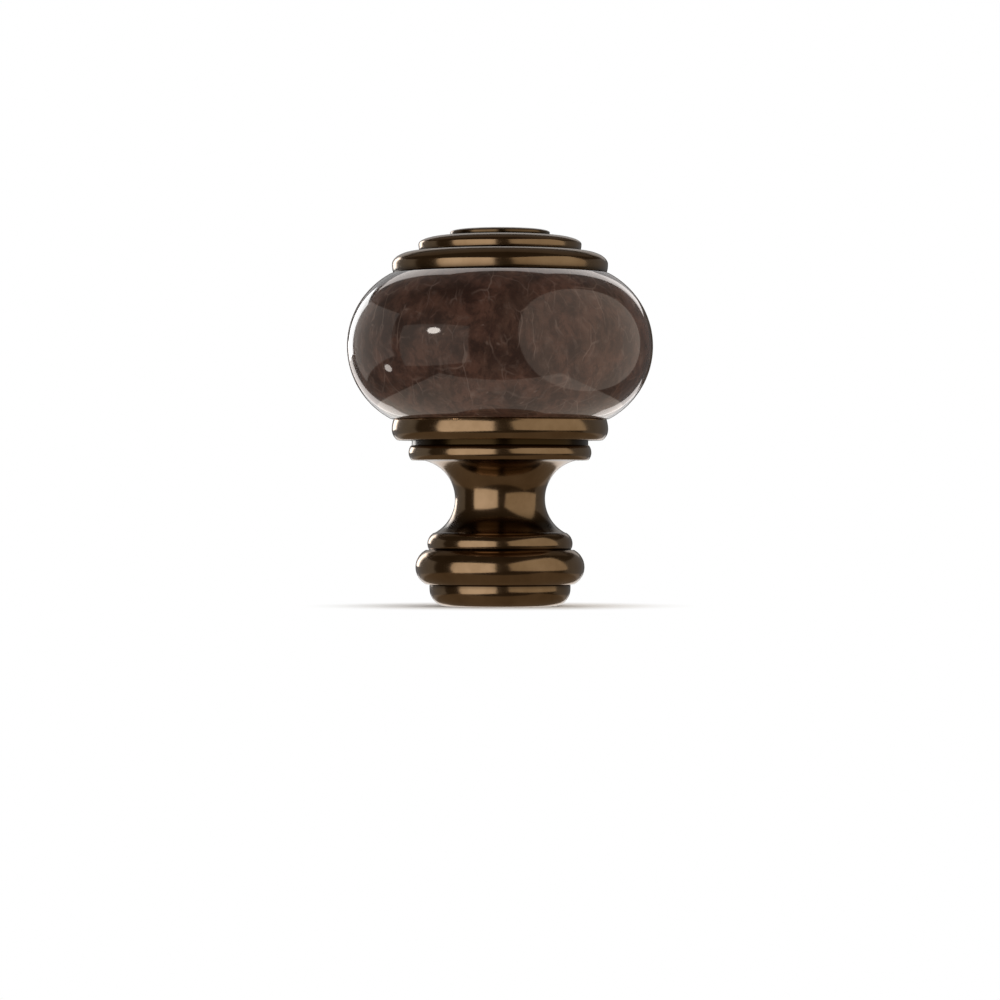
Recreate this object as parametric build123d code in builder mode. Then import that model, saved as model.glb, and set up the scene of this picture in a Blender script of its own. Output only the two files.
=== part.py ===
# Curtain finial: a turned stack of a socketed base, a flattened ball and a stepped cap,
# clamped by one bolt on the axis. Millimetres, +Z up, origin at the centre of the base's seat.
import os

from build123d import *

# Mounting socket in the underside
rod_d = 25.4
socket_clearance = 0.2
socket_depth = 15.0
socket_lead_in = 0.4

# Base: bottom ring
ring_h = 5.85
ring_wall = 6.0
ring_side_h = 1.15
ring_top_round = 0.4
seat_w = 1.7

# Base: fat torus
torus_h = 9.15
torus_step = 3.75
torus_tuck = 2.75

# Base: astragal above the torus
astragal_h = 4.6
astragal_step = 0.55
astragal_low_h = 1.7
astragal_low_tuck = 0.5
astragal_top_tuck = 1.7

# Base: cove of the neck
neck_h = 19.45
neck_r = 12.06
neck_waist_h = 9.1
neck_quirk = 0.2

# Base: collar under the ball
collar_r = 29.0
collar_h = 5.7
collar_low_h = 2.9
collar_low_tuck = 1.5
collar_top_tuck = 0.5
band_h = 1.35
bead_h = 4.0
bead_step = 4.5
bead_low_h = 2.05
bead_low_tuck = 0.8
bead_top_tuck = 0.7
bead_ledge = 3.0
band_tuck = 0.15

# Ball
ball_r = 41.0
ball_h = 39.0
ball_flat_r = 29.2

# Cap tiers, from the ball upwards
cap_low_r = 28.95
cap_low_h = 6.0
cap_mid_r = 21.85
cap_mid_h = 4.15
cap_top_r = 13.35
cap_top_h = 1.75
cap_crown_r = 8.0
cap_low_foot_h = 2.4
cap_low_tuck = 0.6
cap_mid_foot_h = 1.8
cap_mid_tuck = 0.5
cap_top_foot_h = 0.85
cap_top_tuck = 0.25

# Tie bolt with a hexagon socket head, and its washer
bolt_d = 6.0
bolt_engagement = 7.3
bolt_tip_chamfer = 0.8
bolt_clearance = 0.3
thread_clearance = 0.05
bolt_tip_gap = 0.8
head_d = 10.0
head_h = 6.0
head_edge = 0.4
head_hex = 5.0
head_hex_depth = 3.0
head_recess = 0.4
washer_d = 12.0
washer_t = 1.6
washer_clearance = 0.2
counterbore_clearance = 0.4

# Grub screw across the torus, at the back of the finial
grub_d = 5.0
grub_recess = 1.65
grub_tip_gap = 0.1
grub_chamfer = 0.6
grub_hex = 2.5
grub_hex_depth = 2.6
grub_cup_d = 2.4
grub_cup_depth = 1.1

# Levels of the stack, each on the one before
torus_z = ring_h
astragal_z = torus_z + torus_h
neck_z = astragal_z + astragal_h
bead_z = neck_z + neck_h
band_z = bead_z + bead_h
collar_z = band_z + band_h
ball_z = collar_z + collar_h
cap_z = ball_z + ball_h
grub_z = torus_z + torus_h / 2

# Radii of the base, worked outwards from the socket and down from the collar
socket_r = rod_d / 2 + socket_clearance
ring_r = socket_r + ring_wall
torus_r = ring_r + torus_step
astragal_r = ring_r + astragal_step
bead_r = collar_r - bead_step
bolt_hole_r = bolt_d / 2 + bolt_clearance
counterbore_r = max(washer_d, head_d) / 2 + counterbore_clearance
counterbore_depth = head_recess + head_h + washer_t
washer_z = socket_depth + head_recess + head_h
bolt_tip_z = cap_z + bolt_engagement


def bow(low, mid, high):
    """Two arcs from the middle point, upright there, to the low and the high end of a moulding."""
    TangentArc(mid, low, tangent=(0, -1))
    TangentArc(mid, high, tangent=(0, 1))


def hexagon_radius(across_flats):
    """Corner radius of a hexagon from its width across flats."""
    return across_flats / 3**0.5


# Base: one turned outline from the seat up to the ball, then the socket and holes
with BuildPart() as base:
    with BuildSketch(Plane.XZ):
        with BuildLine():
            seat_edge = (socket_r + seat_w, 0)
            ring_low = (ring_r, ring_h - ring_side_h)
            ring_high = (ring_r, ring_h - ring_top_round)
            ring_end = (ring_r - ring_top_round, ring_h)
            torus_low = (torus_r - torus_tuck, torus_z)
            torus_high = (torus_r - torus_tuck, astragal_z)
            astragal_low = (astragal_r - astragal_low_tuck, astragal_z)
            astragal_high = (astragal_r - astragal_top_tuck, neck_z)
            neck_low = (astragal_high[0] - neck_quirk, neck_z)
            bead_low = (bead_r - bead_low_tuck, bead_z)
            bead_high = (bead_r - bead_top_tuck, band_z)
            neck_high = (bead_low[0] - bead_ledge, bead_z)
            band_low = (bead_high[0] - band_tuck, band_z)
            band_high = (band_low[0], collar_z)
            collar_low = (collar_r - collar_low_tuck, collar_z)
            collar_high = (collar_r - collar_top_tuck, ball_z)

            Polyline(collar_high, (0, ball_z), (0, 0), seat_edge)
            EllipticalCenterArc(
                (seat_edge[0], ring_low[1]),
                ring_r - seat_edge[0],
                ring_low[1],
                start_angle=270,
                arc_size=90,
            )
            Line(ring_low, ring_high)
            TangentArc(ring_high, ring_end, tangent=(0, 1))
            Line(ring_end, torus_low)
            bow(torus_low, (torus_r, grub_z), torus_high)
            Line(torus_high, astragal_low)
            bow(astragal_low, (astragal_r, astragal_z + astragal_low_h), astragal_high)
            Line(astragal_high, neck_low)
            bow(neck_low, (neck_r, neck_z + neck_waist_h), neck_high)
            Line(neck_high, bead_low)
            bow(bead_low, (bead_r, bead_z + bead_low_h), bead_high)
            Polyline(bead_high, band_low, band_high, collar_low)
            bow(collar_low, (collar_r, collar_z + collar_low_h), collar_high)
        make_face()
    revolve(axis=Axis.Z)
    with Locations(Plane((0, 0, 0), z_dir=(0, 0, -1))):
        Hole(socket_r, depth=socket_depth)
    with Locations(Plane((0, 0, socket_depth), z_dir=(0, 0, -1))):
        CounterBoreHole(bolt_hole_r, counterbore_r, counterbore_depth, depth=ball_z - socket_depth)
    with Locations(Plane((0, torus_r, grub_z), z_dir=(0, 1, 0))):
        Hole(grub_d / 2 + thread_clearance, depth=torus_r - socket_r + grub_d / 2)
    mouth = base.edges().filter_by(GeomType.CIRCLE).group_by(Axis.Z)[0].sort_by(SortBy.RADIUS)[0]
    chamfer(mouth, socket_lead_in)
base.part.label = "base"

# Ball: flattened, with flat ends and the bolt hole
with BuildPart() as ball:
    with BuildSketch(Plane.XZ):
        with BuildLine():
            ball_low = (ball_flat_r, ball_z)
            ball_high = (ball_flat_r, cap_z)
            bow(ball_low, (ball_r, ball_z + ball_h / 2), ball_high)
            Polyline(ball_high, (bolt_hole_r, cap_z), (bolt_hole_r, ball_z), ball_low)
        make_face()
    revolve(axis=Axis.Z)
ball.part.label = "ball"

# Cap: three tiers, each tucked in at its foot and rounded over to the foot of the next
tiers = [
    (cap_low_r, cap_low_h, cap_low_foot_h, cap_low_tuck, cap_mid_r),
    (cap_mid_r, cap_mid_h, cap_mid_foot_h, cap_mid_tuck, cap_top_r),
    (cap_top_r, cap_top_h, cap_top_foot_h, cap_top_tuck, cap_crown_r),
]
with BuildPart() as top_cap:
    with BuildSketch(Plane.XZ):
        with BuildLine():
            level = cap_z
            foot = (0, cap_z)
            for tier_r, tier_h, foot_h, tuck, lip_end in tiers:
                foot_r = tier_r - tuck
                wide_z = level + foot_h
                Line(foot, (foot_r, level))
                EllipticalCenterArc((foot_r, wide_z), tuck, foot_h, start_angle=270, arc_size=90)
                EllipticalCenterArc((lip_end, wide_z), tier_r - lip_end, tier_h - foot_h, arc_size=90)
                level = level + tier_h
                foot = (lip_end, level)
            Polyline(foot, (0, level), (0, cap_z))
        make_face()
    revolve(axis=Axis.Z)
    with Locations(Plane((0, 0, cap_z), z_dir=(0, 0, -1))):
        Hole(bolt_d / 2 + thread_clearance, depth=bolt_engagement + bolt_tip_gap)
top_cap.part.label = "top_cap"

# Washer between the bolt's head and the floor of the counterbore
with BuildPart() as washer:
    with BuildSketch(Plane.XY.offset(washer_z)):
        Circle(washer_d / 2)
        Circle(bolt_d / 2 + washer_clearance, mode=Mode.SUBTRACT)
    extrude(amount=washer_t)
washer.part.label = "washer"

# Tie bolt: socket head in the counterbore, shank through base and ball into the cap
with BuildPart() as tie_bolt:
    with BuildSketch(Plane.XY.offset(washer_z)):
        Circle(head_d / 2)
    extrude(amount=-head_h)
    chamfer(tie_bolt.edges().group_by(Axis.Z)[0], head_edge)
    with BuildSketch(Plane.XY.offset(washer_z)):
        Circle(bolt_d / 2)
    extrude(amount=bolt_tip_z - washer_z)
    chamfer(tie_bolt.edges().group_by(Axis.Z)[-1], bolt_tip_chamfer)
    with BuildSketch(Plane.XY.offset(washer_z - head_h)):
        RegularPolygon(hexagon_radius(head_hex), 6)
    extrude(amount=head_hex_depth, mode=Mode.SUBTRACT)
tie_bolt.part.label = "tie_bolt"

# Grub screw: cup point towards the axis, hexagon socket outwards, below the torus's surface
grub_tip_y = socket_r + grub_tip_gap
grub_end_y = torus_r - grub_recess
with BuildPart() as grub_screw:
    with BuildSketch(Plane.XZ.offset(-grub_tip_y)):
        with Locations((0, grub_z)):
            Circle(grub_d / 2)
    extrude(amount=grub_tip_y - grub_end_y)
    ends = grub_screw.edges().filter_by(GeomType.CIRCLE)
    chamfer(ends, grub_chamfer)
    with BuildSketch(Plane.XZ.offset(-grub_end_y)):
        with Locations((0, grub_z)):
            RegularPolygon(hexagon_radius(grub_hex), 6)
    extrude(amount=grub_hex_depth, mode=Mode.SUBTRACT)
    with Locations(Plane((0, grub_tip_y, grub_z), z_dir=(0, 1, 0))):
        Cone(
            grub_cup_d / 2,
            0,
            grub_cup_depth,
            align=(Align.CENTER, Align.CENTER, Align.MIN),
            mode=Mode.SUBTRACT,
        )
grub_screw.part.label = "grub_screw"

os.makedirs("parts", exist_ok=True)
for piece in (base, ball, top_cap, washer, tie_bolt, grub_screw):
    export_step(piece.part, f"parts/{piece.part.label}.step")
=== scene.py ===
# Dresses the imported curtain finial: turned bronze base and cap, a figured resin ball between them,
# the screws that hold them together, and a plain white studio. Metres, +Z up, origin on the base's seat.
import math

import bmesh
import bpy
from bpy.props import FloatProperty, FloatVectorProperty, IntProperty, PointerProperty
from bpy.types import Operator, Panel, PropertyGroup
from mathutils import Matrix, Vector


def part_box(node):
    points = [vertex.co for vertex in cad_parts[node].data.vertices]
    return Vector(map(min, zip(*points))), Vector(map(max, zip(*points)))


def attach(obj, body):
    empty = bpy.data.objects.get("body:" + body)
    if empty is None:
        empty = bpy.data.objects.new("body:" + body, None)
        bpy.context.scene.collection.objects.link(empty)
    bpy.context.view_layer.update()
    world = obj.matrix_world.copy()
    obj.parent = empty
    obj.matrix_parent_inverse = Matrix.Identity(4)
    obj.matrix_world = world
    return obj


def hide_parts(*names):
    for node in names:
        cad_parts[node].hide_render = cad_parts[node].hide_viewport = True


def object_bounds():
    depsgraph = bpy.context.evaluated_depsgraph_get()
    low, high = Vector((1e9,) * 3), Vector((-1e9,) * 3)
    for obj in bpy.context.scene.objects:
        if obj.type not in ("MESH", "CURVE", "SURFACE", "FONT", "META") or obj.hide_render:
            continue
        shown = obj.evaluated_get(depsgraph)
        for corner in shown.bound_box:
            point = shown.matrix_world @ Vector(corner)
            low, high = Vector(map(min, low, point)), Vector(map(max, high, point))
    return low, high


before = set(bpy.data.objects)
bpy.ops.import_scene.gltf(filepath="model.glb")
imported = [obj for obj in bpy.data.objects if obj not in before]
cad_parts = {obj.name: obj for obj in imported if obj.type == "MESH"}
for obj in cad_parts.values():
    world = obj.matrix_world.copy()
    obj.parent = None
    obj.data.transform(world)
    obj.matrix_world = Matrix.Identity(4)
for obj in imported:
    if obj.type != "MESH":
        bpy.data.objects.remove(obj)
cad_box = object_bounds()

bl_info = {
    "name": "Curtain Finial",
    "version": (1, 0, 0),
    "blender": (4, 5, 0),
    "location": "View3D > Sidebar > Finial",
    "description": "Builds a turned curtain finial with its finishes, and a plain studio round it",
    "category": "Object",
}

MM = 0.001
BODY = "root"
WHITE = (1, 1, 1, 1)

# Edges that turn by more than this are drawn crisp, and points nearer than this are one
CRISP = math.radians(30)
SAME_PLACE = MM / 1000

# Fewest steps along an arc, and the steps round an edge that polishing has softened
FEWEST_STEPS = 8
POLISH_STEPS = 3

# Depth of a metric thread, and how far its root, flank and crest run, as shares of its pitch
THREAD_DEPTH = 0.6134
THREAD_ROOT, THREAD_FLANK, THREAD_CREST = 0.167, 0.354, 0.125

# Sockets of the Mix node in its colour mode, which shares its socket names with its other modes
FACTOR, COLOUR_A, COLOUR_B = 0, 6, 7
MIXED = 2

# Lowest and highest corners of the CAD nodes that the pieces stand for
base_low, base_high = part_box("base")
ball_low, ball_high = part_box("ball")
cap_low, cap_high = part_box("top_cap")
bolt_low, bolt_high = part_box("tie_bolt")
washer_low, washer_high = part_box("washer")
grub_low, grub_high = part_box("grub_screw")


# Property helpers
def linear(hex_colour):
    """Turns an sRGB hex colour into the linear colour that the shaders take."""
    channels = [int(hex_colour[i : i + 2], 16) / 255 for i in (1, 3, 5)]
    return tuple(c / 12.92 if c <= 0.04045 else ((c + 0.055) / 1.055) ** 2.4 for c in channels) + (1.0,)


def length(name, millimetres, description):
    """A length that the user can change, written in millimetres and kept in metres."""
    return FloatProperty(
        name=name, description=description, default=millimetres * MM, min=0, precision=5, unit="LENGTH"
    )


def colour(name, hex_colour, description):
    """A colour that the user can change, written as sRGB hex and kept linear."""
    return FloatVectorProperty(
        name=name,
        description=description,
        default=linear(hex_colour),
        size=4,
        min=0,
        max=1,
        subtype="COLOR",
    )


def angle(name, degrees, description):
    """An angle that the user can change, written in degrees and kept in radians."""
    return FloatProperty(
        name=name, description=description, default=math.radians(degrees), subtype="ANGLE"
    )


def share(name, value, description):
    """A share from 0 to 1 that the user can change."""
    return FloatProperty(
        name=name, description=description, default=value, min=0, max=1, subtype="FACTOR"
    )


# Sizes and finishes that a user would change
class FinialTurning(PropertyGroup):
    """How finely the turned pieces are drawn."""

    around: IntProperty(name="Steps Around", description="Faces round the axis", default=192, min=24)
    chord: length("Chord", 0.5, "Longest straight step along a rounded moulding")
    edge_round: length("Edge Round", 0.15, "Rounding left by polishing on the castings' crisp edges")
    # The darkening out of each groove is patina together with painted shade
    groove_patina_and_shade_reach: length("Groove Reach", 0.7, "How far the dark patina reaches out of a groove")


class FinialBase(PropertyGroup):
    """Sizes of the base casting, from its seat up to the ball."""

    socket_r: length("Socket Radius", 12.9, "Radius of the mounting socket in the underside")
    socket_depth: length("Socket Depth", 15.0, "Height of the socket's floor above the seat")
    lead_in: length("Socket Lead-in", 0.4, "Chamfer at the socket's mouth")
    seat_w: length("Seat Width", 1.7, "Socket's wall to the outer edge of the flat seat")
    ring_r: length("Ring Radius", 18.9, "Bottom ring's radius")
    ring_h: length("Ring Height", 5.85, "Bottom ring's height")
    ring_side_h: length("Ring Side", 1.15, "Upright side of the bottom ring, with its rounded top")
    ring_top_round: length("Ring Top Round", 0.4, "Rounding at the top of the bottom ring")
    torus_r: length("Torus Radius", 22.65, "Radius of the fat torus")
    torus_h: length("Torus Height", 9.15, "Height of the fat torus")
    torus_tuck: length("Torus Tuck", 2.75, "How far the torus draws in at its ends")
    astragal_r: length("Astragal Radius", 19.45, "Radius of the ring above the torus")
    astragal_h: length("Astragal Height", 4.6, "Height of the ring above the torus")
    astragal_low_h: length("Astragal Widest", 1.7, "Height at which that ring is widest")
    astragal_low_tuck: length("Astragal Foot Tuck", 0.5, "How far that ring draws in at its foot")
    astragal_top_tuck: length("Astragal Top Tuck", 1.7, "How far that ring draws in at its top")
    neck_r: length("Neck Radius", 12.06, "Radius of the neck at its waist")
    neck_h: length("Neck Height", 19.45, "Height of the hollow neck")
    neck_waist_h: length("Neck Waist", 9.1, "Height of the waist above the neck's foot")
    neck_quirk: length("Neck Quirk", 0.2, "Small step at the neck's foot")
    # Painted shade on the neck: the lower flare is darkened where it would mirror the lit astragal and
    # torus, and the top, with patina, under the bead's ledge
    neck_foot_painted_shade: length("Neck Foot Patina", 3.2, "Reach of the patina on the neck's lower flare")
    neck_top_patina_and_shade: length("Neck Top Patina", 1.2, "Reach of the patina down from the neck's top")
    bead_r: length("Bead Radius", 24.5, "Radius of the bead under the collar")
    bead_h: length("Bead Height", 4.0, "Height of the bead")
    bead_low_h: length("Bead Widest", 2.05, "Height at which the bead is widest")
    bead_low_tuck: length("Bead Foot Tuck", 0.8, "How far the bead draws in at its foot")
    bead_top_tuck: length("Bead Top Tuck", 0.7, "How far the bead draws in at its top")
    bead_ledge: length("Bead Ledge", 3.0, "Flat ledge under the bead")
    band_h: length("Band Height", 1.35, "Plain band between bead and collar")
    band_tuck: length("Band Tuck", 0.15, "How far the band lies inside the bead's top")
    collar_low_h: length("Collar Widest", 2.9, "Height at which the collar is widest")
    collar_low_tuck: length("Collar Foot Tuck", 1.5, "How far the collar draws in at its foot")
    collar_top_tuck: length("Collar Top Tuck", 0.5, "How far the collar draws in at its top")
    bolt_hole_r: length("Bolt Hole Radius", 3.3, "Clearance hole for the tie bolt")
    counterbore_r: length("Counterbore Radius", 6.4, "Counterbore for the bolt's head and washer")
    grub_hole_r: length("Grub Hole Radius", 2.55, "Tapped hole for the grub screw")
    grub_hole_break: length("Grub Hole Edge", 0.45, "Countersink that takes the burr off the hole")


class FinialBall(PropertyGroup):
    """Sizes of the resin ball that the frame doesn't give."""

    flat_r: length("Flat Radius", 29.2, "Radius of the flats that meet collar and cap")
    hole_r: length("Hole Radius", 3.3, "Clearance hole for the tie bolt")


class FinialCap(PropertyGroup):
    """Sizes of the stepped cap that the frame doesn't give."""

    low_h: length("Low Tier Height", 6.0, "Height of the widest tier")
    mid_r: length("Middle Tier Radius", 21.85, "Radius of the middle tier")
    mid_h: length("Middle Tier Height", 4.15, "Height of the middle tier")
    top_r: length("Top Tier Radius", 13.35, "Radius of the top tier")
    crown_r: length("Crown Radius", 8.0, "Radius of the flat crown")
    low_foot_h: length("Low Tier Widest", 2.4, "Height at which the widest tier is widest")
    low_tuck: length("Low Tier Tuck", 0.6, "How far the widest tier draws in at its foot")
    mid_foot_h: length("Middle Tier Widest", 1.8, "Height at which the middle tier is widest")
    mid_tuck: length("Middle Tier Tuck", 0.5, "How far the middle tier draws in at its foot")
    top_foot_h: length("Top Tier Widest", 0.85, "Height at which the top tier is widest")
    top_tuck: length("Top Tier Tuck", 0.25, "How far the top tier draws in at its foot")
    # Dark patina with painted shade at each tier's foot, darkening its lower part and dimming its
    # highlight
    low_patina_and_shade: length("Low Tier Patina", 1.2, "How far the dark patina reaches up the widest tier")
    mid_patina_and_shade: length("Middle Tier Patina", 0.65, "How far the dark patina reaches up the middle tier")
    top_patina_and_shade: length("Top Tier Patina", 1.0, "How far the dark patina reaches up the top tier")
    tap_r: length("Tapped Hole Radius", 3.05, "Blind tapped hole for the tie bolt")
    tap_depth: length("Tapped Hole Depth", 8.1, "Depth of the blind tapped hole")


class FinialScrews(PropertyGroup):
    """Sizes of the tie bolt, its washer and the grub screw."""

    bolt_r: length("Bolt Radius", 3.0, "M6 tie bolt")
    bolt_pitch: length("Bolt Pitch", 1.0, "Coarse pitch of M6")
    bolt_thread: length("Bolt Thread", 24.0, "Threaded length at the bolt's tip")
    bolt_tip: length("Bolt Tip", 0.8, "Chamfer at the bolt's tip")
    head_r: length("Head Radius", 5.0, "Socket head's radius")
    head_h: length("Head Height", 6.0, "Socket head's height")
    head_edge: length("Head Edge", 0.4, "Chamfer at the head's outer face")
    head_knurl: length("Head Knurl", 0.12, "Depth of the knurl on the head's side")
    head_hex: length("Head Hexagon", 5.0, "Hexagon across flats in the head")
    head_hex_depth: length("Head Hexagon Depth", 3.0, "Depth of the hexagon in the head")
    washer_hole_r: length("Washer Hole", 3.2, "Radius of the washer's hole")
    grub_r: length("Grub Radius", 2.5, "M5 grub screw")
    grub_pitch: length("Grub Pitch", 0.8, "Coarse pitch of M5")
    grub_end: length("Grub End", 0.6, "Chamfer at both ends of the grub screw")
    grub_hex: length("Grub Hexagon", 2.5, "Hexagon across flats in the grub screw")
    grub_hex_depth: length("Grub Hexagon Depth", 2.6, "Depth of the hexagon in the grub screw")
    grub_cup_r: length("Cup Radius", 1.2, "Radius of the cup point")
    grub_cup_depth: length("Cup Depth", 1.1, "Depth of the cup point")
    around: IntProperty(name="Steps Around", description="Faces round a screw", default=48, min=12)


class FinialFinish(PropertyGroup):
    """Colours and gloss of the finial's materials."""

    bronze: colour("Bronze", "#a08262", "Polished antique bronze")
    bronze_brown: colour("Bronze Brown", "#8c6f50", "Browner clouds in the bronze")
    # Patina in the hollows, also used as painted shade on creases, the plain band and the neck's flares
    patina_and_shade: colour("Patina", "#3a2b18", "Dark patina left in the grooves")
    bronze_roughness: share("Bronze Roughness", 0.16, "Roughness of the lacquered bronze")
    resin: colour("Resin", "#4a2f24", "Ground colour of the resin")
    resin_dark: colour("Resin Dark", "#2a160e", "Dark blotches in the resin")
    resin_tan: colour("Resin Tan", "#4c362b", "Lighter patches in the resin")
    vein: colour("Vein", "#75635a", "Pale branching veins")
    steel: colour("Black Steel", "#34332f", "Black oxide on steel")
    zinc: colour("Zinc", "#b9bcbd", "Bright zinc plate")


class FinialStudio(PropertyGroup):
    """The camera, the lamps and what the polished surfaces see of the room."""

    camera_distance: length("Camera Distance", 1200, "Camera to the finial's axis")
    camera_height: length("Camera Height", 28.4, "Camera above the floor")
    picture_width: length("Picture Width", 268, "Width of the picture at the finial's axis")
    lamp_distance: length("Lamp Distance", 1300, "Lamps to the middle of the finial")
    room_radius: length("Room Radius", 6000, "Dark room that the polished surfaces see")
    floor_radius: length("Floor Radius", 900, "Radius of the pale floor")
    floor_paint: colour("Floor Paint", "#f2f1ef", "Matt paint of the pale floor")
    fade_start: length("Fade Start", 20, "Where the floor starts to fade into white, from the axis")
    fade_end: length("Fade End", 55, "Where the floor is white, from the axis")
    backdrop_height: angle("Backdrop Height", 28.125, "Reach of scrim and opening off the horizon")
    opening_width: angle("Opening Width", 16.875, "Half the width of the white opening behind")
    opening_high: angle("Opening High", 5.625, "How far below the horizon that opening starts")
    scrim_width: angle("Scrim Width", 22.5, "Half the width of the grey scrim behind the finial")
    scrim_low: angle("Scrim Low", 11.25, "How far above the horizon the scrim starts")
    scrim: share("Scrim", 0.45, "Level of the grey scrim")
    ambient: share("Ambient", 0.45, "Level of the light that comes from all round")
    room: colour("Room", "#403a32", "Dark drapes round the finial")


# Drawing turned pieces
class Outline:
    """An outline in the XZ plane, drawn one stretch at a time and then turned about the Z axis."""

    def __init__(self, x, z, chord):
        self.mesh = bmesh.new()
        self.tip = bmesh.ops.create_vert(self.mesh, co=(x, 0, z))["vert"][0]
        self.start = self.tip
        self.chord = chord
        self.edges = []
        self.grooves = []

    def line(self, x, z):
        """Draws a straight stretch."""
        end = bmesh.ops.extrude_vert_indiv(self.mesh, verts=[self.tip])["verts"][0]
        bmesh.ops.translate(self.mesh, verts=[end], vec=Vector((x, 0, z)) - end.co)
        self.tip = end

    def arc(self, x, z, centre_x, centre_z):
        """Draws an arc about a centre: a quarter ellipse if its ends lie at unlike distances."""
        centre = Vector((centre_x, 0, centre_z))
        start = self.tip.co - centre
        end = Vector((x, 0, z)) - centre
        sweep = start.xz.angle_signed(end.xz)
        steps = max(FEWEST_STEPS, math.ceil(abs(sweep) * max(start.length, end.length) / self.chord))
        before = set(self.mesh.verts)
        made = bmesh.ops.spin(
            self.mesh, geom=[self.tip], cent=centre, axis=(0, 1, 0), angle=sweep, steps=steps
        )
        reach = end.length / start.length
        stretch = (reach, 1, 1) if abs(end.x) > abs(end.z) else (1, 1, reach)
        new = [vert for vert in self.mesh.verts if vert not in before]
        if not math.isclose(reach, 1, rel_tol=1e-4):
            bmesh.ops.scale(self.mesh, vec=stretch, space=Matrix.Translation(-centre), verts=new)
        self.tip = next(item for item in made["geom_last"] if isinstance(item, bmesh.types.BMVert))

    def bow(self, mid_x, mid_z, end_x, end_z):
        """Draws a moulding as two arcs that meet upright at its widest or narrowest point."""
        low_x, low_z = self.tip.co.xz
        for x, z, from_x, from_z in ((mid_x, mid_z, low_x, low_z), (end_x, end_z, end_x, end_z)):
            out = mid_x - from_x
            radius = (out**2 + (mid_z - from_z) ** 2) / (2 * out)
            self.arc(x, z, mid_x - radius, mid_z)

    def soften(self):
        """Marks the corner at the tip as one that polishing has rounded."""
        self.edges.append(self.tip)

    def groove(self, reach, x=None, z=None):
        """Marks where dark patina and painted shade lie and how far they reach: at the tip, or at a given
        place.
        """
        self.grooves.append((self.tip.co.xz if x is None else Vector((x, z)), reach))

    def close(self):
        """Joins the end of the outline to its start."""
        bmesh.ops.contextual_create(self.mesh, geom=[self.tip, self.start])

    def turn(self, turning):
        """Turns the outline about the axis and writes how strongly each point takes the patina and
        painted shade.
        """
        mesh = self.mesh
        bmesh.ops.bevel(
            mesh,
            geom=self.edges,
            offset=turning.edge_round,
            offset_type="OFFSET",
            affect="VERTICES",
            segments=POLISH_STEPS,
            profile=0.5,
            material=-1,
            clamp_overlap=True,
        )
        bmesh.ops.spin(
            mesh,
            geom=mesh.verts[:] + mesh.edges[:],
            axis=(0, 0, 1),
            angle=math.tau,
            steps=turning.around,
            use_merge=True,
        )
        bmesh.ops.remove_doubles(mesh, verts=mesh.verts, dist=SAME_PLACE)
        bmesh.ops.recalc_face_normals(mesh, faces=mesh.faces)
        depth = mesh.verts.layers.float.new("groove")
        for vert in mesh.verts:
            place = Vector((vert.co.xy.length, vert.co.z))
            gaps = [(place - corner).length / reach for corner, reach in self.grooves]
            vert[depth] = math.exp(-min(gaps, default=math.inf) ** 2)
        return mesh


def piece(mesh, name, node, slot, material):
    """Makes the object that stands for a CAD node, smooth but for its crisp edges."""
    for face in mesh.faces:
        face.smooth = True
    data = bpy.data.meshes.new(name)
    mesh.to_mesh(data)
    mesh.free()
    data.set_sharp_from_angle(angle=CRISP)
    data.materials.append(material)
    obj = bpy.data.objects.new(name, data)
    bpy.context.scene.collection.objects.link(obj)
    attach(obj, BODY)
    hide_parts(node)
    lit(slot == "brown_resin").objects.link(obj)
    return obj


def lit(resin):
    """The objects that the resin's own lamps light, or that the metal's own lamps light."""
    name = "lit_resin" if resin else "lit_metal"
    return bpy.data.collections.get(name) or bpy.data.collections.new(name)


def cut(obj, cutter_mesh):
    """Takes a closed cutter out of an object, keeping its smooth faces and crisp edges."""
    data = bpy.data.meshes.new("cutter")
    cutter_mesh.to_mesh(data)
    cutter_mesh.free()
    cutter = bpy.data.objects.new("cutter", data)
    bpy.context.scene.collection.objects.link(cutter)
    boolean = obj.modifiers.new("cut", "BOOLEAN")
    boolean.object = cutter
    boolean.solver = "EXACT"
    seen = obj.evaluated_get(bpy.context.evaluated_depsgraph_get())
    result = bpy.data.meshes.new_from_object(seen)
    obj.modifiers.clear()
    obj.data = result
    bpy.data.objects.remove(cutter)
    result.set_sharp_from_angle(angle=CRISP)


# Drawing screws
def ring(mesh, radius, z, segments):
    """Adds a level ring of edges."""
    place = Matrix.Translation((0, 0, z))
    made = bmesh.ops.create_circle(mesh, radius=radius, segments=segments, matrix=place)["verts"]
    return list({edge for vert in made for edge in vert.link_edges})


def angle_of(vert):
    """Angle of a vertex round the Z axis."""
    return math.atan2(vert.co.y, vert.co.x)


def skin(mesh, chains, ends):
    """Skins chains of edge loops, closes the ends given and welds it all into one skin."""
    for chain in chains:
        for pair in zip(chain, chain[1:]):
            # Level loops that already carry faces can be bridged crosswise, so bare copies are bridged
            copies = [bmesh.ops.duplicate(mesh, geom=loop)["geom"] for loop in pair]
            bare = [item for copy in copies for item in copy if isinstance(item, bmesh.types.BMEdge)]
            bmesh.ops.bridge_loops(mesh, edges=bare)
    for end in ends:
        bmesh.ops.edgeloop_fill(mesh, edges=end)
    bmesh.ops.remove_doubles(mesh, verts=mesh.verts, dist=SAME_PLACE)
    bmesh.ops.recalc_face_normals(mesh, faces=mesh.faces)


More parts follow.
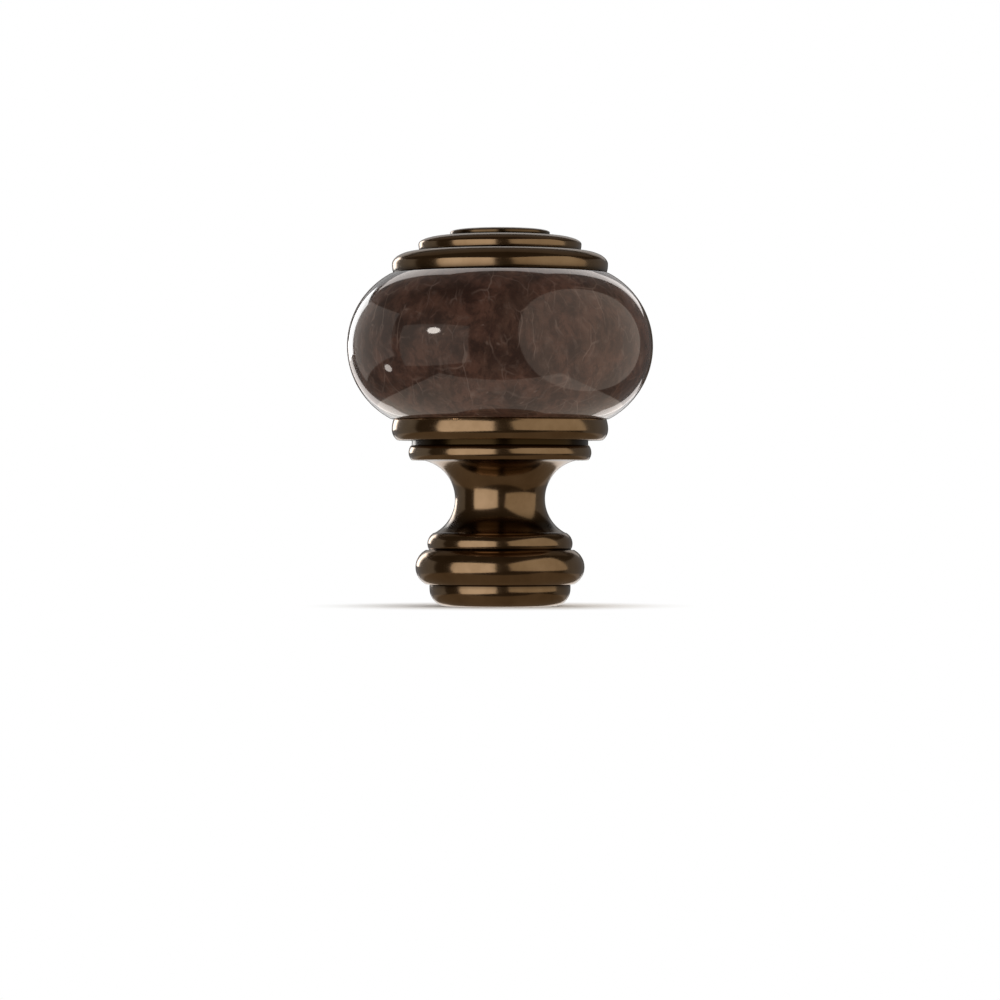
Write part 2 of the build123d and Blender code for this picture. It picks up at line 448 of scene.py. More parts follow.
def thread(radius, pitch, low, high, low_end, high_end, around):
    """Winds a metric thread between two heights and returns it with its two chamfered end loops."""
    root = radius - THREAD_DEPTH * pitch
    turns = math.ceil((high - low) / pitch) + 2
    tooth = Outline(root, low - pitch, pitch)
    rise = low - pitch
    profile = ((root, THREAD_ROOT), (radius, THREAD_FLANK), (radius, THREAD_CREST), (root, THREAD_FLANK))
    for x, step in profile:
        rise += step * pitch
        tooth.line(x, rise)
    mesh = tooth.mesh
    bmesh.ops.spin(
        mesh,
        geom=mesh.verts[:] + mesh.edges[:],
        axis=(0, 0, 1),
        dvec=(0, 0, pitch / around),
        angle=math.tau * turns,
        steps=around * turns,
    )
    bmesh.ops.remove_doubles(mesh, verts=mesh.verts, dist=pitch / 1000)
    loops = []
    for height, facing in ((low, -1), (high, 1)):
        parts = mesh.verts[:] + mesh.edges[:] + mesh.faces[:]
        sliced = bmesh.ops.bisect_plane(
            mesh,
            geom=parts,
            dist=SAME_PLACE,
            plane_co=(0, 0, height),
            plane_no=(0, 0, facing),
            clear_outer=True,
        )
        loops.append([item for item in sliced["geom_cut"] if isinstance(item, bmesh.types.BMEdge)])
    for vert in mesh.verts:
        room = radius + min(vert.co.z - low - low_end, high - vert.co.z - high_end)
        shrink = min(1, room / vert.co.xy.length)
        vert.co.x *= shrink
        vert.co.y *= shrink
    return mesh, loops


# Materials
def add(tree, kind, inputs=None, **settings):
    """Adds a node with its settings, and fills its inputs with values or with links from other nodes."""
    node = tree.nodes.new("ShaderNode" + kind)
    for name, value in settings.items():
        setattr(node, name, value)
    for name, value in (inputs or {}).items():
        if isinstance(value, bpy.types.NodeSocket):
            tree.links.new(value, node.inputs[name])
        else:
            node.inputs[name].default_value = value
    return node


def per(millimetres):
    """Scale of a pattern whose features are this many millimetres apart."""
    return 1 / (millimetres * MM)


def new_material(name):
    """An empty material and its node tree."""
    material = bpy.data.materials.new(name)
    material.use_nodes = True
    material.node_tree.nodes.clear()
    return material, material.node_tree


def antique_bronze(finish):
    """Antique bronze plate on a zinc casting, buffed on the lathe and lacquered."""
    # A warm brown metal that mirrors the room a little softly. Clouds of browner plate drift over it,
    # fine turning lines run round it, and the grooves hold dark patina together with painted shade,
    # which also darkens the plain band and the neck's flares where they would mirror the casting's own
    # rings.
    material, tree = new_material("antique_bronze_plate")
    place = add(tree, "TexCoord").outputs["Object"]
    # Groove attribute: patina in the creases, with painted shade on the creases, the plain band and the
    # neck's flares
    groove = add(tree, "Attribute", attribute_name="groove").outputs["Fac"]
    cloud = add(tree, "TexNoise", {"Vector": place, "Scale": per(9), "Detail": 4, "Roughness": 0.6})
    drift = add(tree, "MapRange", {"Value": cloud.outputs["Fac"], "From Min": 0.35, "From Max": 0.7})
    plate = finish.bronze
    for amount, shade in ((drift.outputs["Result"], finish.bronze_brown), (groove, finish.patina_and_shade)):
        laid = add(tree, "Mix", {FACTOR: amount, COLOUR_A: plate, COLOUR_B: shade}, data_type="RGBA")
        plate = laid.outputs[MIXED]
    # Turning lines depend on radius and height alone. Real ones are 0.05 mm apart, and are drawn at
    # 0.6 mm to show.
    parts = add(tree, "SeparateXYZ", {"Vector": place})
    squares = [
        add(tree, "Math", {0: parts.outputs[axis], 1: 2.0}, operation="POWER").outputs[0]
        for axis in "XY"
    ]
    square = add(tree, "Math", {0: squares[0], 1: squares[1]}, operation="ADD")
    radius = add(tree, "Math", {0: square.outputs[0]}, operation="SQRT")
    section = add(tree, "CombineXYZ", {"X": radius.outputs[0], "Y": parts.outputs["Z"]})
    lines = add(tree, "TexNoise", {"Vector": section.outputs[0], "Scale": per(0.6), "Detail": 2})
    bump = add(tree, "Bump", {"Height": lines.outputs["Fac"], "Strength": 0.03, "Distance": 0.1 * MM})
    haze = add(
        tree,
        "MapRange",
        {
            "Value": lines.outputs["Fac"],
            "To Min": finish.bronze_roughness * 0.85,
            "To Max": finish.bronze_roughness * 1.15,
        },
    )
    dull = add(tree, "Math", {0: groove, 1: 0.06, 2: haze.outputs["Result"]}, operation="MULTIPLY_ADD")
    shader = add(
        tree,
        "BsdfPrincipled",
        {
            "Base Color": plate,
            "Metallic": 1.0,
            "Roughness": dull.outputs[0],
            "Normal": bump.outputs["Normal"],
        },
    )
    add(tree, "OutputMaterial", {"Surface": shader.outputs["BSDF"]})
    return material


def brown_resin(finish):
    """Cast polyester resin with a burl figure, polished under a clear coat."""
    # Deep red-brown with darker blotches and greyer tan patches, thin pale veins that branch like roots
    # and run mostly upright, and fine specks. The coat over it gives sharp reflections that the figure
    # shows through.
    material, tree = new_material("burl_figured_resin")
    place = add(tree, "TexCoord").outputs["Object"]
    swirl = add(tree, "TexNoise", {"Vector": place, "Scale": per(13), "Detail": 3})
    centred = add(
        tree, "VectorMath", {0: swirl.outputs["Color"], 1: (0.5, 0.5, 0.5)}, operation="SUBTRACT"
    )
    # The swirl moves the blotches by up to 4.5 mm and the veins by up to 3 mm
    moved, gently = [
        add(
            tree,
            "VectorMath",
            {0: centred.outputs[0], 1: (push * MM,) * 3, 2: place},
            operation="MULTIPLY_ADD",
        ).outputs[0]
        for push in (9, 6)
    ]
    upright = add(tree, "Mapping", {"Vector": moved, "Scale": (1, 1, 0.45)}).outputs["Vector"]
    rooted = add(tree, "Mapping", {"Vector": gently, "Scale": (1, 1, 0.4)}).outputs["Vector"]

    blotch = add(tree, "TexNoise", {"Vector": moved, "Scale": per(9), "Detail": 6, "Roughness": 0.65})
    dark = add(tree, "MapRange", {"Value": blotch.outputs["Fac"], "From Min": 0.6, "From Max": 0.42})
    patch = add(tree, "TexNoise", {"Vector": upright, "Scale": per(12), "Detail": 8, "Roughness": 0.7})
    light = add(
        tree,
        "MapRange",
        {"Value": patch.outputs["Fac"], "From Min": 0.48, "From Max": 0.72, "To Max": 0.75},
    )
    # How much shows of each layer of the figure, and its colour, from the ground up
    layers = [(dark.outputs["Result"], finish.resin_dark), (light.outputs["Result"], finish.resin_tan)]

    # Upright fibres, about 2 mm wide, some darker and some paler than the ground
    fibre = add(tree, "TexNoise", {"Vector": upright, "Scale": per(2.2), "Detail": 3, "Roughness": 0.6})
    shades = ((0.5, 0.36, 0.6, finish.resin_dark), (0.54, 0.72, 0.15, finish.vein))
    for low, high, strength, shade in shades:
        streak = add(
            tree,
            "MapRange",
            {"Value": fibre.outputs["Fac"], "From Min": low, "From Max": high, "To Max": strength},
            interpolation_type="SMOOTHSTEP",
        )
        layers.append((streak.outputs["Result"], shade))

    # Veins: parts of the thin edges between tall cells, so that they run up the ball and branch like
    # roots, some 8 mm apart and finer ones 4 mm apart
    for spacing, width, strength in ((8.0, 0.03, 0.36), (4.0, 0.05, 0.18)):
        cells = add(
            tree, "TexVoronoi", {"Vector": rooted, "Scale": per(spacing)}, feature="DISTANCE_TO_EDGE"
        )
        thin = add(
            tree,
            "MapRange",
            {"Value": cells.outputs["Distance"], "From Min": width, "From Max": 0.0, "To Max": strength},
            interpolation_type="SMOOTHSTEP",
        )
        some = add(tree, "TexNoise", {"Vector": place, "Scale": per(spacing * 1.3), "Detail": 2})
        kept = add(tree, "MapRange", {"Value": some.outputs["Fac"], "From Min": 0.48, "From Max": 0.62})
        branch = add(
            tree, "Math", {0: thin.outputs["Result"], 1: kept.outputs["Result"]}, operation="MULTIPLY"
        )
        layers.append((branch.outputs[0], finish.vein))

    speck = add(tree, "TexVoronoi", {"Vector": moved, "Scale": per(1.8)}, feature="F1")
    dot = add(
        tree,
        "MapRange",
        {"Value": speck.outputs["Distance"], "From Min": 0.3, "From Max": 0.1, "To Max": 0.3},
    )
    chosen = add(tree, "Math", {0: speck.outputs["Color"], 1: 0.85}, operation="GREATER_THAN")
    shown = add(tree, "Math", {0: dot.outputs["Result"], 1: chosen.outputs[0]}, operation="MULTIPLY")
    layers.append((shown.outputs[0], finish.vein))

    figure = finish.resin
    for amount, shade in layers:
        laid = add(tree, "Mix", {FACTOR: amount, COLOUR_A: figure, COLOUR_B: shade}, data_type="RGBA")
        figure = laid.outputs[MIXED]
    rough = add(tree, "MapRange", {"Value": blotch.outputs["Fac"], "To Min": 0.45, "To Max": 0.6})
    shader = add(
        tree,
        "BsdfPrincipled",
        {
            "Base Color": figure,
            "Roughness": rough.outputs["Result"],
            "Specular IOR Level": 0.2,
            "IOR": 1.5,
            "Coat Weight": 1.0,
            "Coat Roughness": 0.055,
            "Coat IOR": 1.5,
        },
    )
    add(tree, "OutputMaterial", {"Surface": shader.outputs["BSDF"]})
    return material


def plated_steel(name, base_colour, roughness, grain):
    """Screw steel under a thin plate or oxide, with the grain that forming left."""
    # A plain metal sheen, mottled by the grain so that flats and threads don't look moulded.
    material, tree = new_material(name)
    place = add(tree, "TexCoord").outputs["Object"]
    mottle = add(tree, "TexNoise", {"Vector": place, "Scale": per(grain), "Detail": 4, "Roughness": 0.65})
    darker = [channel * 0.7 for channel in base_colour[:3]] + [1]
    shade = add(
        tree,
        "Mix",
        {FACTOR: mottle.outputs["Fac"], COLOUR_A: darker, COLOUR_B: base_colour},
        data_type="RGBA",
    )
    haze = add(
        tree,
        "MapRange",
        {"Value": mottle.outputs["Fac"], "To Min": roughness * 0.7, "To Max": roughness * 1.3},
    )
    bump = add(tree, "Bump", {"Height": mottle.outputs["Fac"], "Strength": 0.1, "Distance": 0.02 * MM})
    shader = add(
        tree,
        "BsdfPrincipled",
        {
            "Base Color": shade.outputs[MIXED],
            "Metallic": 1.0,
            "Roughness": haze.outputs["Result"],
            "Normal": bump.outputs["Normal"],
        },
    )
    add(tree, "OutputMaterial", {"Surface": shader.outputs["BSDF"]})
    return material


def bronze_of_scene(scene):
    """The one bronze that base and cap share."""
    return bpy.data.materials.get("antique_bronze_plate") or antique_bronze(scene.finial_finish)


# Operators
class FINIAL_OT_base(Operator):
    """Turn the base casting, with its socket, its bolt hole and the grub screw's hole"""

    bl_idname = "finial.base"
    bl_label = "Base Casting"

    def execute(self, context):
        size = context.scene.finial_base
        turning = context.scene.finial_turning
        torus_z = base_low.z + size.ring_h
        astragal_z = torus_z + size.torus_h
        neck_z = astragal_z + size.astragal_h
        bead_z = neck_z + size.neck_h
        band_z = bead_z + size.bead_h
        collar_z = band_z + size.band_h
        top_z = base_high.z
        collar_r = base_high.x
        seat_edge = size.socket_r + size.seat_w
        ring_low_z = torus_z - size.ring_side_h
        astragal_top = size.astragal_r - size.astragal_top_tuck
        bead_foot = size.bead_r - size.bead_low_tuck
        bead_top = size.bead_r - size.bead_top_tuck
        torus_end = size.torus_r - size.torus_tuck
        torus_mid_z = torus_z + size.torus_h / 2
        # Centre of the painted shade on the neck's lower flare
        flare_r = (size.neck_r + astragal_top) / 2
        flare_z = neck_z + size.neck_foot_painted_shade / 2

        # Each groove mark below lays dark patina with painted shade round that crease
        line = Outline(size.socket_r + size.lead_in, base_low.z, turning.chord)
        line.line(seat_edge, base_low.z)
        line.arc(size.ring_r, ring_low_z, seat_edge, ring_low_z)
        line.line(size.ring_r, torus_z - size.ring_top_round)
        line.arc(
            size.ring_r - size.ring_top_round,
            torus_z,
            size.ring_r - size.ring_top_round,
            torus_z - size.ring_top_round,
        )
        line.groove(turning.groove_patina_and_shade_reach)
        line.line(torus_end, torus_z)
        line.bow(size.torus_r, torus_mid_z, torus_end, astragal_z)
        line.line(size.astragal_r - size.astragal_low_tuck, astragal_z)
        line.groove(turning.groove_patina_and_shade_reach)
        line.bow(size.astragal_r, astragal_z + size.astragal_low_h, astragal_top, neck_z)
        line.line(astragal_top - size.neck_quirk, neck_z)
        line.groove(turning.groove_patina_and_shade_reach)
        # Painted shade on the neck's lower flare, which would otherwise mirror the lit astragal and torus
        line.groove(size.neck_foot_painted_shade, flare_r, flare_z)
        line.bow(size.neck_r, neck_z + size.neck_waist_h, bead_foot - size.bead_ledge, bead_z)
        # Patina with painted shade down from the neck's top, under the bead's ledge
        line.groove(size.neck_top_patina_and_shade)
        line.line(bead_foot, bead_z)
        line.soften()
        line.bow(size.bead_r, bead_z + size.bead_low_h, bead_top, band_z)
        line.soften()
        line.line(bead_top - size.band_tuck, band_z)
        # Patina with painted shade from both ends darkens the whole plain band, which would otherwise
        # mirror the lamps
        line.groove(turning.groove_patina_and_shade_reach)
        line.line(bead_top - size.band_tuck, collar_z)
        line.groove(turning.groove_patina_and_shade_reach)
        line.line(collar_r - size.collar_low_tuck, collar_z)
        line.soften()
        line.bow(collar_r, collar_z + size.collar_low_h, collar_r - size.collar_top_tuck, top_z)
        line.soften()
        line.line(size.bolt_hole_r, top_z)
        line.line(size.bolt_hole_r, washer_high.z)
        line.line(size.counterbore_r, washer_high.z)
        line.line(size.counterbore_r, size.socket_depth)
        line.line(size.socket_r, size.socket_depth)
        line.line(size.socket_r, base_low.z + size.lead_in)
        line.close()
        mesh = line.turn(turning)
        casting = piece(mesh, "base_casting", "base", "antique_bronze", bronze_of_scene(context.scene))

        # The grub screw's hole runs in from the back of the torus, with its burr taken off
        cutter = bmesh.new()
        steps = context.scene.finial_screws.around
        break_r = size.grub_hole_r + size.grub_hole_break
        reach = (
            (size.grub_hole_r, size.socket_r - size.grub_hole_r),
            (size.grub_hole_r, size.torus_r - size.grub_hole_break),
            (break_r + size.grub_hole_break, size.torus_r + size.grub_hole_break),
        )
        loops = [ring(cutter, radius, depth, steps) for radius, depth in reach]
        skin(cutter, [loops], (loops[0], loops[-1]))
        turn_back = Matrix.Translation((0, 0, torus_mid_z)) @ Matrix.Rotation(-math.pi / 2, 4, "X")
        bmesh.ops.transform(cutter, matrix=turn_back, verts=cutter.verts)
        cut(casting, cutter)
        return {"FINISHED"}


class FINIAL_OT_ball(Operator):
    """Turn the flattened resin ball with its two flats and the bolt hole"""

    bl_idname = "finial.ball"
    bl_label = "Resin Ball"

    def execute(self, context):
        size = context.scene.finial_ball
        middle = (ball_low.z + ball_high.z) / 2
        line = Outline(size.hole_r, ball_low.z, context.scene.finial_turning.chord)
        line.line(size.flat_r, ball_low.z)
        line.soften()
        line.bow(ball_high.x, middle, size.flat_r, ball_high.z)
        line.soften()
        line.line(size.hole_r, ball_high.z)
        line.close()
        mesh = line.turn(context.scene.finial_turning)
        piece(mesh, "resin_ball", "ball", "brown_resin", brown_resin(context.scene.finial_finish))
        return {"FINISHED"}


class FINIAL_OT_cap(Operator):
    """Turn the cap with its three rounded tiers and the blind tapped hole"""

    bl_idname = "finial.cap"
    bl_label = "Stepped Cap"

    def execute(self, context):
        size = context.scene.finial_cap
        foot_z = cap_low.z
        middle_z = foot_z + size.low_h
        upper_z = middle_z + size.mid_h
        crown_z = cap_high.z
        tiers = (
            (cap_high.x, foot_z, middle_z, size.low_foot_h, size.low_tuck, size.low_patina_and_shade, size.mid_r),
            (size.mid_r, middle_z, upper_z, size.mid_foot_h, size.mid_tuck, size.mid_patina_and_shade, size.top_r),
            (size.top_r, upper_z, crown_z, size.top_foot_h, size.top_tuck, size.top_patina_and_shade, size.crown_r),
        )
        turning = context.scene.finial_turning
        line = Outline(0, foot_z + size.tap_depth, turning.chord)
        line.line(size.tap_r, foot_z + size.tap_depth)
        line.line(size.tap_r, foot_z)
        for radius, low_z, high_z, foot_h, tuck, patina_and_shade, lip_end in tiers:
            wide_z = low_z + foot_h
            line.line(radius - tuck, low_z)
            # Patina with painted shade at the tier's foot, where it meets the tier below
            line.groove(patina_and_shade)
            line.arc(radius, wide_z, radius - tuck, wide_z)
            line.arc(lip_end, high_z, lip_end, wide_z)
        line.line(0, crown_z)
        mesh = line.turn(turning)
        casting = piece(mesh, "cap_casting", "top_cap", "antique_bronze", bronze_of_scene(context.scene))
        # The ball's shoulder and the tiers mirror the white behind the cap instead of the cap
        casting.visible_glossy = False
        return {"FINISHED"}


class FINIAL_OT_screws(Operator):
    """Make the tie bolt, its washer and the grub screw, with their threads and hexagon sockets"""

    bl_idname = "finial.screws"
    bl_label = "Screws"

    def execute(self, context):
        size = context.scene.finial_screws
        turning = context.scene.finial_turning
        finish = context.scene.finial_finish
        black = plated_steel("black_oxide_steel", finish.steel, roughness=0.38, grain=0.5)
        zinc = plated_steel("zinc_plated_steel", finish.zinc, roughness=0.3, grain=0.8)
        around = size.around

        # Tie bolt: knurled socket head below, plain shank, thread at the tip
        head_z = bolt_low.z + size.head_h
        thread_z = bolt_high.z - size.bolt_thread
        mesh, (thread_low, thread_high) = thread(
            size.bolt_r, size.bolt_pitch, thread_z, bolt_high.z, 0, size.bolt_tip, around
        )
        hexagon = size.head_hex / math.sqrt(3)
        pit_z = bolt_low.z + size.head_hex_depth
        edge_r = size.head_r - size.head_edge
        knurl_r = size.head_r - size.head_knurl
        side_levels = (bolt_low.z + size.head_edge, head_z - size.head_edge / 2)
        sides = [ring(mesh, knurl_r, z, 2 * around) for z in side_levels]
        for side in sides:
            ridges = sorted({vert for edge in side for vert in edge.verts}, key=angle_of)
            grow = size.head_r / knurl_r
            bmesh.ops.scale(mesh, vec=(grow, grow, 1), verts=ridges[::2])
        loops = [
            ring(mesh, hexagon, pit_z, 6),
            ring(mesh, hexagon, bolt_low.z, 6),
            ring(mesh, edge_r, bolt_low.z, 2 * around),
            *sides,
            ring(mesh, edge_r, head_z, 2 * around),
            ring(mesh, size.bolt_r, head_z, around),
            ring(mesh, size.bolt_r, thread_z - size.bolt_pitch / 4, around),
            thread_low,
        ]
        skin(mesh, [loops], (loops[0], thread_high))
        piece(mesh, "tie_bolt_m6", "tie_bolt", "black_oxide_steel", black)

        # Washer: a stamped ring with rounded edges
        line = Outline(size.washer_hole_r, washer_low.z, turning.chord)
        line.soften()
        for x, z in (
            (washer_high.x, washer_low.z),
            (washer_high.x, washer_high.z),
            (size.washer_hole_r, washer_high.z),
        ):
            line.line(x, z)
            line.soften()
        line.close()
        piece(line.turn(turning), "washer_m6", "washer", "zinc_plated_steel", zinc)

        # Grub screw: drawn upright with its cup point at zero, then laid along +Y
        reach = grub_high.y - grub_low.y
        cup_tip_r = size.grub_cup_r / 20
        mesh, (cup_loop, key_loop) = thread(
            size.grub_r, size.grub_pitch, 0, reach, size.grub_end, size.grub_end, around
        )
        hexagon = size.grub_hex / math.sqrt(3)
        chains = (
            [
                cup_loop,
                ring(mesh, size.grub_cup_r, 0, around),
                ring(mesh, cup_tip_r, size.grub_cup_depth, around),
            ],
            [
                key_loop,
                ring(mesh, hexagon, reach, 6),
                ring(mesh, hexagon, reach - size.grub_hex_depth, 6),
            ],
        )
        skin(mesh, chains, [chain[-1] for chain in chains])
        place = Matrix.Translation((0, grub_low.y, (grub_low.z + grub_high.z) / 2))
        bmesh.ops.transform(mesh, matrix=place @ Matrix.Rotation(-math.pi / 2, 4, "X"), verts=mesh.verts)
        piece(mesh, "grub_screw_m5", "grub_screw", "black_oxide_steel", black)
        return {"FINISHED"}


# Studio
def emitter(name, strength, tint):
    """A surface that glows evenly, for what the polished metal sees of the room."""
    material, tree = new_material(name)
    glow = add(tree, "Emission", {"Color": tint, "Strength": strength})
    add(tree, "OutputMaterial", {"Surface": glow.outputs["Emission"]})
    material.cycles.emission_sampling = "NONE"
    return material


def seen_plainly(tree):
    """1 where the camera, polished metal or glass looks, and 0 where light only falls."""
    path = add(tree, "LightPath")
    seen = path.outputs["Is Camera Ray"]
    for kind in ("Is Glossy Ray", "Is Transmission Ray"):
        seen = add(tree, "Math", {0: seen, 1: path.outputs[kind]}, operation="MAXIMUM").outputs[0]
    return seen


def stage_object(name, mesh, material):
    """A piece of the studio, which isn't part of the finial."""
    data = bpy.data.meshes.new(name)
    mesh.to_mesh(data)
    mesh.free()
    data.materials.append(material)
    obj = bpy.data.objects.new(name, data)
    bpy.context.scene.collection.objects.link(obj)
    return obj


# Lamp power for each square metre at which its face looks as bright as a surface that glows at 1
WATTS_PER_AREA = 4

# Name, shape, what it lights, bearing with roll, edges, radiance and tint of each lamp
LAMPS = (
    ("metal_key", "RECTANGLE", "metal", (-38, 0, 0), (-0.62, 0.62, -0.53, 0.53), 0.94, "#f8fbff"),
    ("metal_side", "RECTANGLE", "metal", (70, 0, 8), (-1.53, 0.6, -0.35, 0.95), 0.44, "#fffdf4"),
    ("metal_bounce", "RECTANGLE", "metal", (0, -90, 0), (-2.5, 2.5, -4.0, 1.1), 0.1, "#ffeed4"),
    ("metal_left", "RECTANGLE", "metal", (-130, 0, 0), (-0.7, 0.55, -0.4, 0.4), 0.16, "#e2eefb"),
    ("metal_right", "RECTANGLE", "metal", (130, 0, 0), (-0.55, 0.7, -0.4, 0.4), 0.11, "#e2eefb"),
    ("metal_back_top", "RECTANGLE", "metal", (180, 55, 0), (-0.8, 0.8, -0.3, 0.4), 0.05, "#fff8f0"),
    ("rim_strip", "RECTANGLE", "both", (-151.5, 13, 0), (-0.13, 0.13, -0.25, 0.15), 2.5, "#ffffff"),
    ("resin_key", "RECTANGLE", "resin", (-45, -2, 0), (-0.7, 0.4, -0.46, 0.48), 0.36, "#fff4e6"),
    ("resin_side", "ELLIPSE", "resin", (72, 6, 0), (-1.6, 1.6, -1.65, 1.6), 0.56, "#ffeedd"),
    ("resin_left", "RECTANGLE", "resin", (-113, 3, 8), (-0.55, 0.45, -0.33, 0.5), 0.37, "#fff4ea"),
    ("resin_right", "RECTANGLE", "resin", (135, 0, 0), (-0.6, 0.45, -0.5, 0.5), 0.05, "#e2eefb"),
    ("resin_bounce", "RECTANGLE", "resin", (0, -90, 0), (-1.1, 1.1, -4.0, 0.8), 0.46, "#fff2e2"),
    ("resin_back_top", "RECTANGLE", "resin", (180, 0, 0), (-0.5, 0.57, 0.55, 1.88), 1.3, "#fff8f4"),
    ("resin_back_left", "RECTANGLE", "resin", (180, 0, 0), (0.3, 0.57, -0.67, 0.07), 1.2, "#fff8f4"),
    ("resin_back_high", "RECTANGLE", "resin", (180, 0, 0), (-0.5, -0.3, 0.23, 0.55), 1.2, "#fff8f4"),
    ("resin_back_low", "RECTANGLE", "resin", (180, 0, 0), (-0.5, -0.3, -0.67, -0.16), 1.2, "#fff8f4"),
    ("resin_spark", "ELLIPSE", "resin", (-51, 16, 0), (-0.09, 0.09, -0.065, 0.065), 12.0, "#fff6ee"),
    ("resin_spark_low", "ELLIPSE", "resin", (-99, -20, 0), (-0.06, 0.06, -0.06, 0.06), 5.0, "#fff6ee"),
)


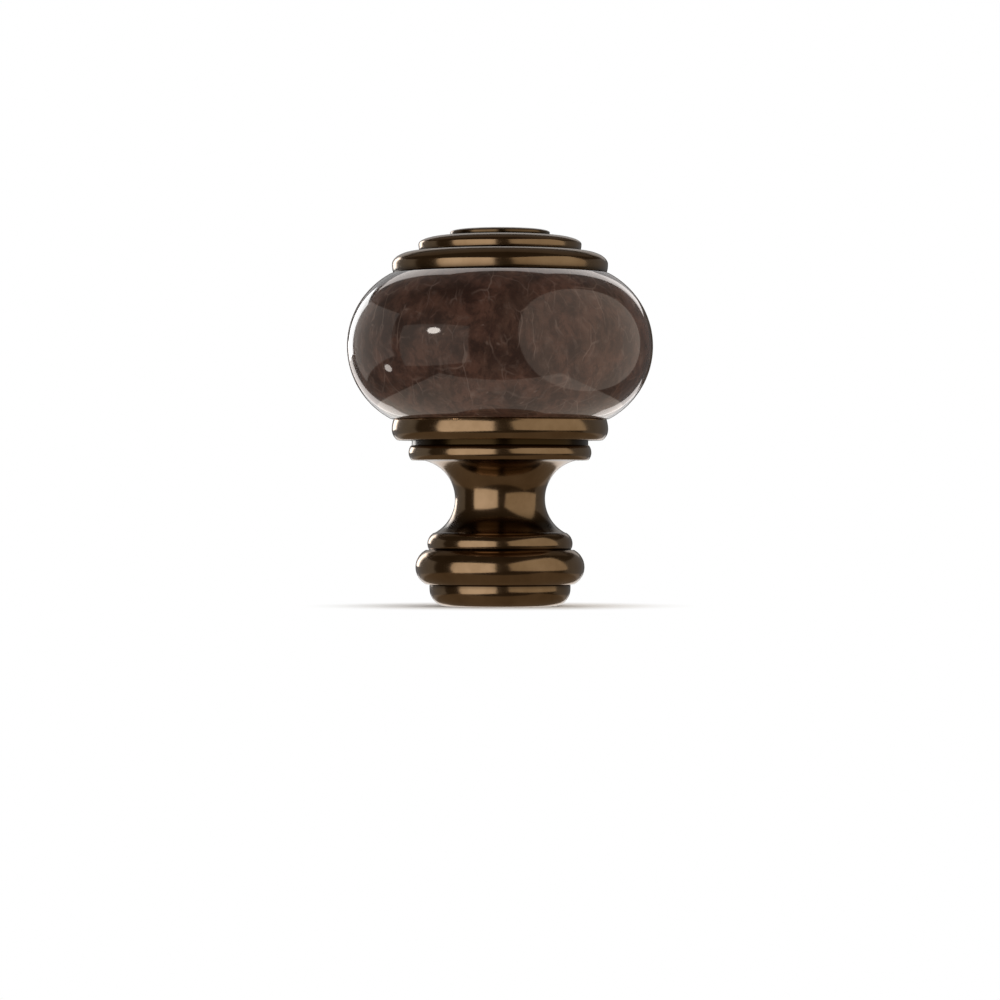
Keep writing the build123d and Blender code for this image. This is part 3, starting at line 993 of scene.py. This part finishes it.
class FINIAL_OT_stage(Operator):
    """Set up the camera, the lamps, the white world and the pale floor"""

    bl_idname = "finial.stage"
    bl_label = "Studio"

    def execute(self, context):
        scene = context.scene
        studio = scene.finial_studio
        scene.view_settings.view_transform = "Standard"
        self.camera(scene, studio)
        self.lamps(scene, studio)
        self.world(scene, studio)
        self.room(studio)
        self.floor(studio)
        return {"FINISHED"}

    def camera(self, scene, studio):
        """A level camera at the height of the finial's neck, as far off as the photograph's."""
        camera = bpy.data.cameras.new("camera")
        camera.lens = camera.sensor_width * studio.camera_distance / studio.picture_width
        obj = bpy.data.objects.new("camera", camera)
        obj.location = (0, -studio.camera_distance, studio.camera_height)
        obj.rotation_euler = (math.pi / 2, 0, 0)
        scene.collection.objects.link(obj)
        scene.camera = obj

    def lamps(self, scene, studio):
        """Soft boxes, each facing the finial from a bearing.

        The edges are the tangents of the angles that they lie off that bearing, to the left, right,
        below and above. Metal and resin have lamps of their own, as they mirror the room so unlike.
        """
        middle = Vector((0, 0, (cad_box[0].z + cad_box[1].z) / 2))
        for name, shape, lights, bearing, edges, radiance, tint in LAMPS:
            azimuth, elevation, roll = [math.radians(degrees) for degrees in bearing]
            left, right, low, high = edges
            lamp = bpy.data.lights.new(name, "AREA")
            lamp.shape = shape
            lamp.size = (right - left) * studio.lamp_distance
            lamp.size_y = (high - low) * studio.lamp_distance
            area = lamp.size * lamp.size_y * (1 if shape == "RECTANGLE" else math.pi / 4)
            lamp.energy = radiance * WATTS_PER_AREA * area
            lamp.color = linear(tint)[:3]
            obj = bpy.data.objects.new(name, lamp)
            turn = Matrix.Rotation(azimuth, 3, "Z") @ Matrix.Rotation(math.pi / 2 - elevation, 3, "X")
            centre = Vector(((left + right) / 2, (low + high) / 2, 1))
            obj.location = middle + turn @ centre * studio.lamp_distance
            obj.rotation_euler = (turn @ Matrix.Rotation(roll, 3, "Z")).to_euler()
            obj.visible_camera = False
            if lights != "both":
                obj.light_linking.receiver_collection = lit(lights == "resin")
            scene.collection.objects.link(obj)

    def world(self, scene, studio):
        """White to the camera, to polished metal and to glass, and a soft level for everything else."""
        world = bpy.data.worlds.new("white_studio")
        scene.world = world
        world.use_nodes = True
        world.cycles.sampling_method = "NONE"
        tree = world.node_tree
        tree.nodes.clear()
        soft = add(tree, "Background", {"Color": WHITE, "Strength": studio.ambient})
        white = add(tree, "Background", {"Color": WHITE, "Strength": 1.0})
        mixed = add(
            tree,
            "MixShader",
            {0: seen_plainly(tree), 1: soft.outputs["Background"], 2: white.outputs["Background"]},
        )
        add(tree, "OutputWorld", {"Surface": mixed.outputs["Shader"]})

    def room(self, studio):
        """Dark drapes seen only in polished surfaces, with a grey scrim and a white opening behind."""
        walls = bmesh.new()
        bmesh.ops.create_uvsphere(walls, u_segments=64, v_segments=32, radius=studio.room_radius)
        opening = []
        for face in walls.faces:
            x, y, z = face.calc_center_median().normalized()
            bearing = abs(math.atan2(x, y))
            height = math.asin(z)
            reach = studio.backdrop_height
            if bearing < studio.opening_width and studio.opening_high < -height < reach:
                opening.append(face)
            elif bearing < studio.scrim_width and studio.scrim_low < height < reach:
                face.material_index = 1
        bmesh.ops.delete(walls, geom=opening, context="FACES")
        dark = stage_object("dark_room", walls, emitter("dark_drapes", 1.0, studio.room))
        dark.data.materials.append(emitter("grey_scrim", studio.scrim, WHITE))
        dark.visible_camera = False
        dark.visible_diffuse = False
        dark.visible_transmission = False
        dark.visible_shadow = False

    def floor(self, studio):
        """A pale floor that takes the finial's shadow, fades into white and is clear from below."""
        disc = bmesh.new()
        bmesh.ops.create_circle(disc, cap_ends=True, radius=studio.floor_radius, segments=96)
        material, tree = new_material("matt_white_floor")
        place = add(tree, "TexCoord").outputs["Object"]
        distance = add(tree, "VectorMath", {0: place}, operation="LENGTH")
        fade = add(
            tree,
            "MapRange",
            {
                "Value": distance.outputs["Value"],
                "From Min": studio.fade_start,
                "From Max": studio.fade_end,
            },
            interpolation_type="SMOOTHSTEP",
        )
        paint = add(tree, "BsdfDiffuse", {"Color": studio.floor_paint})
        white = add(tree, "Emission", {"Color": WHITE, "Strength": 1.0})
        far = add(
            tree, "Math", {0: fade.outputs["Result"], 1: seen_plainly(tree)}, operation="MULTIPLY"
        )
        mixed = add(
            tree, "MixShader", {0: far.outputs[0], 1: paint.outputs["BSDF"], 2: white.outputs["Emission"]}
        )
        under = add(tree, "NewGeometry").outputs["Backfacing"]
        clear = add(tree, "BsdfTransparent")
        topped = add(tree, "MixShader", {0: under, 1: mixed.outputs["Shader"], 2: clear.outputs["BSDF"]})
        add(tree, "OutputMaterial", {"Surface": topped.outputs["Shader"]})
        material.cycles.emission_sampling = "NONE"
        obj = stage_object("floor", disc, material)
        # Polished metal sees past the floor, as if the finial were held well clear of it
        obj.visible_glossy = False
        obj.visible_shadow = False
        for resin in (True, False):
            lit(resin).objects.link(obj)


class FINIAL_PT_panel(Panel):
    """The finial's pieces, each with the button that makes it."""

    bl_label = "Curtain Finial"
    bl_idname = "FINIAL_PT_panel"
    bl_space_type = "VIEW_3D"
    bl_region_type = "UI"
    bl_category = "Finial"

    def draw(self, context):
        for operator in OPERATORS:
            self.layout.operator(operator.bl_idname)


GROUPS = {
    "finial_turning": FinialTurning,
    "finial_base": FinialBase,
    "finial_ball": FinialBall,
    "finial_cap": FinialCap,
    "finial_screws": FinialScrews,
    "finial_finish": FinialFinish,
    "finial_studio": FinialStudio,
}
OPERATORS = (FINIAL_OT_stage, FINIAL_OT_base, FINIAL_OT_ball, FINIAL_OT_cap, FINIAL_OT_screws)
CLASSES = (*GROUPS.values(), *OPERATORS, FINIAL_PT_panel)


def register():
    """Adds the classes, and the sizes to the scene."""
    for cls in CLASSES:
        bpy.utils.register_class(cls)
    for name, group in GROUPS.items():
        setattr(bpy.types.Scene, name, PointerProperty(type=group))


def unregister():
    """Takes the sizes off the scene, and the classes away."""
    for name in GROUPS:
        delattr(bpy.types.Scene, name)
    for cls in reversed(CLASSES):
        bpy.utils.unregister_class(cls)


def main():
    """Makes the studio and every piece."""
    register()
    bpy.ops.finial.stage()
    bpy.ops.finial.base()
    bpy.ops.finial.ball()
    bpy.ops.finial.cap()
    bpy.ops.finial.screws()


if __name__ == "__main__":
    main()
